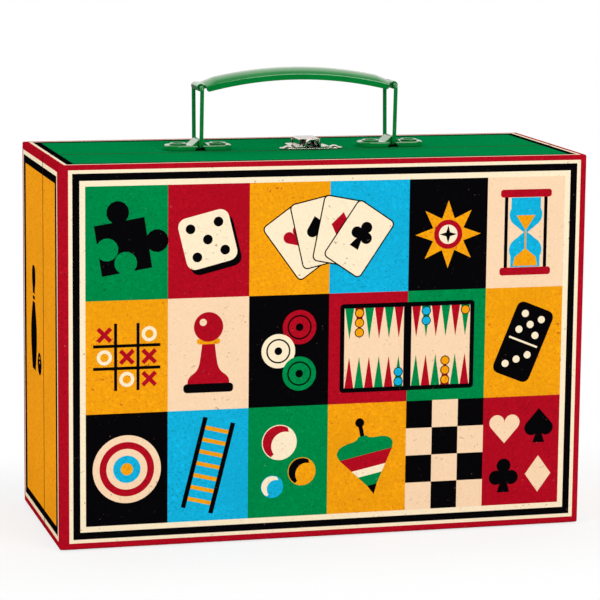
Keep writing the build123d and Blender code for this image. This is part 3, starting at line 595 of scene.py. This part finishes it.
def add_club(motif, ink, size, x=0.0, y=0.0):
    for cx, cy in ((-0.5, -0.15), (0.5, -0.15), (0, 0.6)):
        motif.add(ink, disc(size * 0.46, x + cx * size, y + cy * size, 24))
    motif.add(ink, disc(size * 0.22, x, y + size * 0.1, 24))
    motif.add(ink, [(x - size * 0.4, y - size * 1.1), (x + size * 0.4, y - size * 1.1), (x, y + size * 0.4)])


def add_jigsaw(motif):
    """One piece of a puzzle: two knobs out, two sockets in."""
    half, mouth, reach = 14.0, 3.8, 5.0
    radius = hypot(mouth, reach)
    turn = 90 - 180 / pi * atan2(mouth, reach)
    piece = [(-half, -half)] + arc(radius, 180 + turn, -turn, 0, -half + reach) + [(half, -half)]
    piece += arc(radius, -90 - turn, 90 + turn, half + reach, 0)
    piece += [(half, half)] + arc(radius, -turn, 180 + turn, 0, half + reach)
    piece += [(-half, half)] + arc(radius, 90 + turn, -90 - turn, -half + reach, 0)
    motif.add("black", turned(piece, 9, -2, -2))


def add_die(motif):
    motif.add("black", turned(rounded(29, 29, 5), 14, 1.8, -2.2))
    motif.add("cream", turned(rounded(29, 29, 5), 14, -0.6, 0.8))
    motif.add("black", *(turned(disc(2.7, u, v, 24), 14, -0.6, 0.8)
                         for u, v in ((-8, -8), (8, -8), (0, 0), (-8, 8), (8, 8))))


def add_card_fan(motif):
    """Four cards turned round a point below them."""
    reach, pivot = 30.0, (0.0, -26.0)
    for suit, lean in (("heart", 36), ("spade", 13), ("diamond", -11), ("club", -34)):
        def on_card(outline):
            return turned([(u, v + reach) for u, v in outline], lean, *pivot)

        motif.add("black", on_card(rounded(25.4, 37.4, 3)))
        motif.add("cream", on_card(rounded(24, 36, 2.4)))
        if suit == "heart":
            motif.add("red", on_card(heart(6.4, 0, 3)))
        elif suit == "diamond":
            motif.add("red", on_card(diamond(7, 0, 3)))
        elif suit == "spade":
            motif.add("black", on_card([(-u, 3 - v) for u, v in heart(6.2)]))
            motif.add("black", on_card([(-2.8, -5.6), (2.8, -5.6), (0, 3)]))
        else:
            motif.add("black", *(on_card(disc(3.2, cx, cy, 24)) for cx, cy in ((-3.2, 2.4), (3.2, 2.4))))
            motif.add("black", on_card(disc(3.2, 0, 7.4, 24)))
            motif.add("black", on_card(disc(1.6, 0, 4.0, 24)))
            motif.add("black", on_card([(-2.8, -5.6), (2.8, -5.6), (0, 6)]))


def add_star(motif):
    motif.add("amber", star(8, 19, 9.5))
    motif.add("red", disc(8.2))
    motif.add("cream", disc(5.4))
    motif.add("black", star(4, 5, 1.6))


def add_hourglass(motif):
    motif.add("black", *(rectangle(2, 42, x, 0) for x in (-11.6, 11.6)))
    motif.add("red", *(rounded(30, 4.4, 1.6, 0, y) for y in (-22, 22)))
    glass = mirrored([(0, -19.6), (8.6, -19.6)] + arc(7, -30, 60, 2.6, -10, 8) + [(1.1, 0)]
                     + arc(7, -60, 30, 2.6, 10, 8) + [(8.6, 19.6), (0, 19.6)])
    motif.add("blue", glass)
    motif.add("amber", [(-7.2, -19), (7.2, -19), (6.2, -14), (0, -9), (-6.2, -14)], [(0, 1), (5.6, 9.6), (-5.6, 9.6)])
    motif.add("amber", rectangle(0.9, 12, 0, -5))


def add_noughts(motif):
    cell, line = 12.4, 1.7
    motif.add("black", *(rectangle(line, 3 * cell, shift, 0) for shift in (-cell / 2, cell / 2)))
    motif.add("black", *(rectangle(3 * cell, line, 0, shift) for shift in (-cell / 2, cell / 2)))
    for lean in (45, -45):
        motif.add("red", *(turned(rectangle(2.3, 10), lean, column * cell, row * cell)
                           for column, row in ((-1, 1), (0, 0), (1, -1), (1, 0))))
    for ink, radius in (("cream", 4.2), ("amber", 2.3)):
        motif.add(ink, *(disc(radius, column * cell, row * cell, 28) for column, row in ((1, 1), (-1, 0), (0, -1))))


def add_ludo_pawn(motif):
    body = eased([(11.8, -18), (11.6, -13), (5.6, -9), (4.2, 0), (3.4, 7)])
    motif.add("red", mirrored([(0, -18)] + body + [(0, 7)]))
    motif.add("black", rounded(28, 5, 2, 0, -19))
    motif.add("amber", rounded(13, 3.2, 1.5, 0, 7))
    motif.add("red", disc(8.2, 0, 15))
    motif.add("peach", disc(2.0, -3, 17.6, 20))


def add_draughts(motif):
    for ink, x, y in (("red", 6, 13), ("cream", -6, 0), ("green", 6, -13)):
        motif.add(ink, disc(9.6, x, y))
        motif.add("black", disc(6.9, x, y, 32))
        motif.add(ink, disc(6.0, x, y, 32))
        motif.add("black", disc(2.2, x, y, 24))


def add_backgammon(motif):
    """An open board across two tiles, with its points and some men."""
    width, height, frame_line, bar, points = 78.0, 50.0, 2.5, 4.4, 6
    motif.add("black", rounded(width, height, 2))
    motif.add("peach", rectangle(width - 2 * frame_line, height - 2 * frame_line))
    motif.add("black", rectangle(bar, height - 2 * frame_line))
    step = (width - 2 * frame_line - bar) / 2 / points
    tips = {"red": [], "green": []}
    for side in (-1, 1):
        for i in range(points):
            x = side * (bar / 2 + (i + 0.5) * step)
            for edge in (-1, 1):
                base = edge * (height / 2 - frame_line)
                tip = [(x - step / 2 + 0.3, base), (x + step / 2 - 0.3, base), (x, base - edge * 17.5)]
                tips["red" if (i + (edge > 0)) % 2 else "green"].append(tip if edge < 0 else tip[::-1])
    for ink, outlines in tips.items():
        motif.add(ink, *outlines)
    men = []
    for side, place, edge, count, ink in ((-1, 0, -1, 2, "blue"), (-1, 4, 1, 3, "amber"), (1, 1, 1, 2, "blue"),
                                          (1, 3, -1, 3, "amber"), (1, 5, 1, 1, "amber")):
        x = side * (bar / 2 + (place + 0.5) * step)
        men += [(ink, x, edge * (height / 2 - frame_line - (i + 0.5) * 5.5)) for i in range(count)]
    motif.add("black", *(disc(2.7, x, y, 24) for _, x, y in men))
    for ink in ("blue", "amber"):
        motif.add(ink, *(disc(2.2, x, y, 24) for man_ink, x, y in men if man_ink == ink))


def add_domino(motif):
    lean = -22
    motif.add("black", turned(rounded(23, 43, 4), lean))
    motif.add("cream", turned(rectangle(18, 1.1), lean))
    spots = [(-5.2, 15.4), (5.2, 15.4), (0, 10.6), (-5.2, 5.8), (5.2, 5.8), (-5.2, -15), (5.2, -6), (0, -10.5)]
    motif.add("cream", *(turned(disc(2.1, u, v, 20), lean) for u, v in spots))


def add_target(motif):
    for ink, radius in (("peach", 19), ("red", 15.2), ("peach", 11.4), ("blue", 7.6), ("amber", 3.4)):
        motif.add(ink, disc(radius, 0, 0, 56))


def add_ladder(motif):
    lean = -14
    motif.add("amber", *(turned(rectangle(15, 2.2, 0, -20.4 + i * 6.8), lean) for i in range(7)))
    motif.add("black", *(turned(rectangle(2.6, 52, x, 0), lean) for x in (-8, 8)))


def add_marbles(motif):
    for ink, other, radius, x, y in (("cream", "red", 10, -5, 11), ("amber", "black", 8, 8, -6),
                                     ("blue", "cream", 6.4, -9, -14)):
        motif.add(ink, disc(radius, x, y))
        motif.add(other, arc(radius * 0.95, 60, 240, x, y, 16)
                  + arc(radius * 0.8, 215, 75, x + radius * 0.34, y - radius * 0.2))


def add_spinning_top(motif):
    lean = 12
    outline = mirrored([(0, -20)] + eased([(15.5, 2), (17.0, 6.4), (13, 10), (4, 10.6), (2.4, 12.6)]) + [(0, 12.6)])
    motif.add("black", turned(rectangle(2.4, 12, 0, 14), lean))
    motif.add("green", turned(outline, lean))
    motif.add("red", turned([(-15.5, 2), (-10, -5.8), (10, -5.8), (15.5, 2)], lean))
    motif.add("cream", turned([(-10, -5.8), (-7, -10), (7, -10), (10, -5.8)], lean))
    motif.add("black", turned([(-2.8, -16), (0, -21.5), (2.8, -16)], lean))
    motif.add("black", turned(disc(2.6, 0, 20.5, 20), lean))


def add_checks(motif):
    """Three by four squares, black on the tile's own colour."""
    motif.add("black", *(rectangle(TILE_W / 3, TILE_H / 4, (column - 1) * TILE_W / 3, (row - 1.5) * TILE_H / 4)
                         for column in range(3) for row in range(4) if (column + row) % 2))


def add_suits(motif):
    motif.add("peach", heart(9, -10, 13.5))
    add_spade(motif, "black", 9, 10.5, 14.5)
    add_club(motif, "black", 9, -10, -14)
    motif.add("peach", diamond(9.6, 10.5, -14))


for row, inks in enumerate(TILE_INKS):
    for column, ink in enumerate(inks):
        x, y = tile_middle(column, row)
        lid_print.shape(front, ink, rectangle(TILE_W, TILE_H, x, y), 1)
for column, row, add_motif in (
    (0, 0, add_jigsaw), (1, 0, add_die), (2.5, 0, add_card_fan), (4, 0, add_star), (5, 0, add_hourglass),
    (0, 1, add_noughts), (1, 1, add_ludo_pawn), (2, 1, add_draughts), (3.5, 1, add_backgammon), (5, 1, add_domino),
    (0, 2, add_target), (1, 2, add_ladder), (2, 2, add_marbles), (3, 2, add_spinning_top), (4, 2, add_checks),
    (5, 2, add_suits),
):
    add_motif(Motif(lid_print, front, tile_middle(column, row)))


def add_skittle(motif):
    """A skittle and its ball."""
    half = eased([(5, -30), (7.5, -24), (10.2, -12), (9.0, -2), (3.8, 9), (3.0, 15), (6.2, 21), (5.4, 29), (0, 30)])
    motif.add("black", mirrored([(0, -30)] + half))
    motif.add("orange", *(rectangle(8.6, 1.3, 0, y) for y in (9.6, 13.0)))
    motif.add("black", disc(6.4, 18.6, -23.6, 32))
    motif.add("orange", *(disc(0.8, x, y, 16) for x, y in ((17.0, -20.4), (20.0, -20.2), (18.8, -22.8))))


SIDE_MOTIF_Y, SIDE_MOTIF_Z = 22.0, 116.0
add_skittle(Motif(base_print, left, (-SIDE_MOTIF_Y, SIDE_MOTIF_Z)))
add_skittle(Motif(base_print, right, (SIDE_MOTIF_Y, SIDE_MOTIF_Z)))


# ---------------------------------------------------------------- print on the game pieces
contents_print = Print("contents_print", "base")


def box_faces(middle, half):
    """Front, back, top, bottom, right and left faces of a cube."""
    for across, up in (((1, 0, 0), (0, 0, 1)), ((-1, 0, 0), (0, 0, 1)), ((1, 0, 0), (0, 1, 0)),
                       ((1, 0, 0), (0, -1, 0)), ((0, 1, 0), (0, 0, 1)), ((0, -1, 0), (0, 0, 1))):
        yield Face(Vector(middle) + Vector(across).cross(Vector(up)) * half, across, up)


def pips(count):
    """Places of the pips on a die's face, in steps from its middle."""
    spots = [(0, 0)] if count % 2 else []
    if count > 1:
        spots += [(-1, 1), (1, -1)]
    if count > 3:
        spots += [(1, 1), (-1, -1)]
    if count == 6:
        spots += [(-1, 0), (1, 0)]
    return spots


DIE_HALF, DICE_Y, DICE_Z = 8.0, -2.9, 54.23
PIP_STEP, PIP_RADIUS = 3.9, 1.35
for x, numbers in ((79.3, (5, 2, 6, 1, 3, 4)), (95.6, (3, 4, 2, 5, 6, 1)), (111.9, (6, 1, 4, 3, 5, 2))):
    for face, count in zip(box_faces((x, DICE_Y, DICE_Z), DIE_HALF), numbers):
        for u, v in pips(count):
            contents_print.shape(face, "black", disc(PIP_RADIUS, u * PIP_STEP, v * PIP_STEP, 20), 1)


def add_card_back(motif, field_ink, line_ink):
    """The front of a card box: a ruled frame round a lattice, with a disc left for the middle."""
    motif.add(line_ink, rounded(57, 82, 3))
    motif.add(field_ink, rounded(54.6, 79.6, 2))
    motif.add(line_ink, rounded(52.6, 77.6, 1.6))
    motif.add(field_ink, rounded(51.8, 76.8, 1.4))
    motif.add(line_ink, *(diamond(2.6, column * 5.6, row * 5.8)
                          for column in range(-4, 5) for row in range(-6, 7) if (column + row) % 2 == 0))
    motif.add(line_ink, disc(13.4))
    motif.add(field_ink, disc(12.2))


CARDS_X, CARDS_FRONT = -93.1, -3.7
cards_front = Face((0, CARDS_FRONT, 0), (1, 0, 0), (0, 0, 1))
for z, ink, middle in ((56.23, "red", heart(8, 0, 0.6)), (153.47, "blue", star(5, 9, 4))):
    card_box = Motif(contents_print, cards_front, (CARDS_X, z))
    add_card_back(card_box, ink, "cream")
    card_box.add("cream", middle)
TILES_FRONT, TILES_Z = -5.65, 50.93
tiles_front = Face((0, TILES_FRONT, 0), (1, 0, 0), (0, 0, 1))
for x, ink, add_motif in ((-20.5, "black", add_star), (25.5, "green", add_target)):
    tile = Motif(contents_print, tiles_front, (x, TILES_Z))
    tile.add(ink, rounded(39, 39, 1.6))
    add_motif(tile)


def add_spine_cloth():
    """One strip of book cloth glued under both shells, finely divided where it bends as the hinge."""
    xs = [-148 + 8 * i for i in range(38)]
    ys = [-58 + 5 * i for i in range(10)] + [-12 + 0.25 * i for i in range(17)] + [-7 + 5 * i for i in range(14)]
    strip = bmesh.new()
    low_side, high_side = [[[strip.verts.new((x * MM, y * MM, z * MM)) for x in xs] for y in ys]
                           for z in (0, CLOTH_TOP)]
    for j in range(len(ys) - 1):
        for i in range(len(xs) - 1):
            strip.faces.new((low_side[j][i], low_side[j + 1][i], low_side[j + 1][i + 1], low_side[j][i + 1]))
            strip.faces.new((high_side[j][i], high_side[j][i + 1], high_side[j + 1][i + 1], high_side[j + 1][i]))
    rim = [(0, i) for i in range(len(xs))] + [(j, len(xs) - 1) for j in range(1, len(ys))]
    rim += [(len(ys) - 1, i) for i in range(len(xs) - 2, -1, -1)] + [(j, 0) for j in range(len(ys) - 2, 0, -1)]
    for (j, i), (m, n) in zip(rim, rim[1:] + rim[:1]):
        strip.faces.new((low_side[j][i], low_side[m][n], high_side[m][n], high_side[j][i]))
    data = bpy.data.meshes.new("spine_cloth")
    strip.to_mesh(data)
    strip.free()
    data.materials.append(book_cloth())
    piece = bpy.data.objects.new("spine_cloth", data)
    bpy.context.scene.collection.objects.link(piece)
    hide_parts("base_cloth", "lid_cloth")
    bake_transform(piece)


add_spine_cloth()


# ---------------------------------------------------------------- stage, light and camera, in metres
FLOOR_REACH, FLOOR_GAP = 6, 0.0004
FLOOR_SHOWN = 0.25        # how much of the floor the camera sees beside the box: enough for its shadow


class Studio:
    """Nodes of the floor or the world, wired by name."""

    def __init__(self, owner):
        owner.use_nodes = True
        self.nodes, self.links = owner.node_tree.nodes, owner.node_tree.links
        self.nodes.clear()
        path = self.nodes.new("ShaderNodeLightPath")
        self.camera = path.outputs["Is Camera Ray"]
        self.glossy = path.outputs["Is Glossy Ray"]
        self.through = path.outputs["Is Transmission Ray"]

    def plug(self, value, socket):
        if isinstance(value, bpy.types.NodeSocket):
            self.links.new(value, socket)
        else:
            socket.default_value = value

    def node(self, kind, operation=None, **sockets):
        new = self.nodes.new(kind)
        if operation:
            new.operation = operation
        for name, value in sockets.items():
            self.plug(value, new.inputs[name.replace("_", " ")])
        return new

    def math(self, operation, first, second):
        new = self.node("ShaderNodeMath", operation)
        self.plug(first, new.inputs[0])
        self.plug(second, new.inputs[1])
        return new.outputs[0]

    def ramp(self, value, low, high, start, end):
        new = self.node("ShaderNodeMapRange", Value=value, From_Min=low, From_Max=high, To_Min=start, To_Max=end)
        new.interpolation_type = "SMOOTHSTEP"
        return new.outputs["Result"]

    def mix(self, share, first, second):
        new = self.nodes.new("ShaderNodeMixShader")
        self.plug(share, new.inputs[0])
        self.links.new(first, new.inputs[1])
        self.links.new(second, new.inputs[2])
        return new.outputs[0]


def floor_material():
    """White floor: the camera sees some of it close to the box, for its shadow, and the white studio beyond."""
    material = bpy.data.materials.new("white_floor")
    studio = Studio(material)
    diffuse = studio.node("ShaderNodeBsdfDiffuse", Color=(0.92, 0.92, 0.92, 1))
    clear = studio.node("ShaderNodeBsdfTransparent")
    place = studio.node("ShaderNodeTexCoord").outputs["Object"]
    beside = studio.node("ShaderNodeVectorMath", "ABSOLUTE")
    studio.links.new(place, beside.inputs[0])
    outside = studio.node("ShaderNodeVectorMath", "SUBTRACT")
    studio.links.new(beside.outputs[0], outside.inputs[0])
    outside.inputs[1].default_value = (CASE_W / 2 * MM, Y_BACK * MM, 0)
    clipped = studio.node("ShaderNodeVectorMath", "MAXIMUM")
    studio.links.new(outside.outputs[0], clipped.inputs[0])
    clipped.inputs[1].default_value = (0, 0, 0)
    distance = studio.node("ShaderNodeVectorMath", "LENGTH")
    studio.links.new(clipped.outputs[0], distance.inputs[0])
    fade = studio.ramp(distance.outputs["Value"], 0.01, 0.14, 1 - FLOOR_SHOWN, 1.0)
    seen = studio.math("MULTIPLY", studio.math("MAXIMUM", studio.camera, studio.glossy), fade)
    surface = studio.mix(seen, diffuse.outputs[0], clear.outputs[0])
    studio.links.new(surface, studio.node("ShaderNodeOutputMaterial").inputs["Surface"])
    return material


def studio_world():
    """Even studio light. The camera sees white; shiny surfaces do too, but for the unlit side of the room."""
    world = bpy.data.worlds.new("studio")
    studio = Studio(world)
    light = studio.node("ShaderNodeBackground", Color=(1, 1, 1, 1), Strength=0.62)
    white = studio.node("ShaderNodeBackground", Color=(1, 1, 1, 1), Strength=1.0)
    direction = studio.node("ShaderNodeSeparateXYZ", Vector=studio.node("ShaderNodeTexCoord").outputs["Generated"])
    backdrop = studio.ramp(direction.outputs["Y"], 0.15, 0.6, 0.04, 1.0)
    horizon = studio.ramp(direction.outputs["Z"], 0.0, 0.16, 0.1, 1.0)
    above = studio.ramp(direction.outputs["Z"], 0.45, 0.75, 0.0, 0.3)
    room = studio.node("ShaderNodeBackground", Color=(1, 0.98, 0.94, 1),
                       Strength=studio.math("MAXIMUM", studio.math("MULTIPLY", backdrop, horizon), above))
    shiny = studio.mix(studio.math("MAXIMUM", studio.glossy, studio.through), light.outputs[0], room.outputs[0])
    surface = studio.mix(studio.camera, shiny, white.outputs[0])
    studio.links.new(surface, studio.node("ShaderNodeOutputWorld").inputs["Surface"])
    bpy.context.scene.world = world


floor_data = bpy.data.meshes.new("floor")
floor_data.from_pydata([(x, y, 0) for x, y in rectangle(2 * FLOOR_REACH, 2 * FLOOR_REACH)], [], [(0, 1, 2, 3)])
floor_data.materials.append(floor_material())
floor = bpy.data.objects.new("floor", floor_data)
floor.location = (0, 0, -FLOOR_GAP)
bpy.context.scene.collection.objects.link(floor)
studio_world()


def softbox(name, place, target, size, power, mirrored_in_metal):
    """A rectangular area lamp turned to a point."""
    data = bpy.data.lights.new(name, "AREA")
    data.shape = "RECTANGLE"
    data.size, data.size_y = size
    data.energy = power
    lamp = bpy.data.objects.new(name, data)
    lamp.location = place
    lamp.visible_glossy = mirrored_in_metal
    lamp.rotation_euler = (Vector(target) - Vector(place)).to_track_quat("-Z", "Y").to_euler()
    bpy.context.scene.collection.objects.link(lamp)


softbox("key", (1.0, -1.9, 1.9), (0, 0, 0.1), (1.6, 1.6), 26, True)
softbox("fill", (-1.9, -1.2, 1.1), (0, 0, 0.1), (1.4, 1.4), 14, False)
softbox("overhead", (0.1, 0.5, 2.2), (0, 0, 0.2), (1.6, 1.0), 4, False)

# the camera looks from 14.9 degrees round to the left and 9.4 degrees above
CAMERA_PLACE = (-0.4058, -1.5290, 0.3874)
CAMERA_TURN, CAMERA_TILT, CAMERA_ROLL = radians(14.871), radians(9.436), radians(0.572)
FOCAL_PIXELS, FRAME_PIXELS, SENSOR = 2798.9, 600.0, 36.0
forward = Vector((sin(CAMERA_TURN) * cos(CAMERA_TILT), cos(CAMERA_TURN) * cos(CAMERA_TILT), -sin(CAMERA_TILT)))
level_right = forward.cross(Vector((0, 0, 1))).normalized()
level_up = level_right.cross(forward)
camera_right = level_right * cos(CAMERA_ROLL) + level_up * sin(CAMERA_ROLL)
camera_up = level_up * cos(CAMERA_ROLL) - level_right * sin(CAMERA_ROLL)
camera_data = bpy.data.cameras.new("camera")
camera_data.sensor_width = SENSOR
camera_data.lens = FOCAL_PIXELS / FRAME_PIXELS * SENSOR
camera = bpy.data.objects.new("camera", camera_data)
camera.matrix_world = Matrix.Translation(CAMERA_PLACE) @ Matrix(
    (camera_right, camera_up, -forward)).transposed().to_4x4()
bpy.context.scene.collection.objects.link(camera)
bpy.context.scene.camera = camera
bpy.context.scene.view_settings.view_transform = "Standard"

lid_print.finish(ink_materials)
base_print.finish(ink_materials)
contents_print.finish(ink_materials)
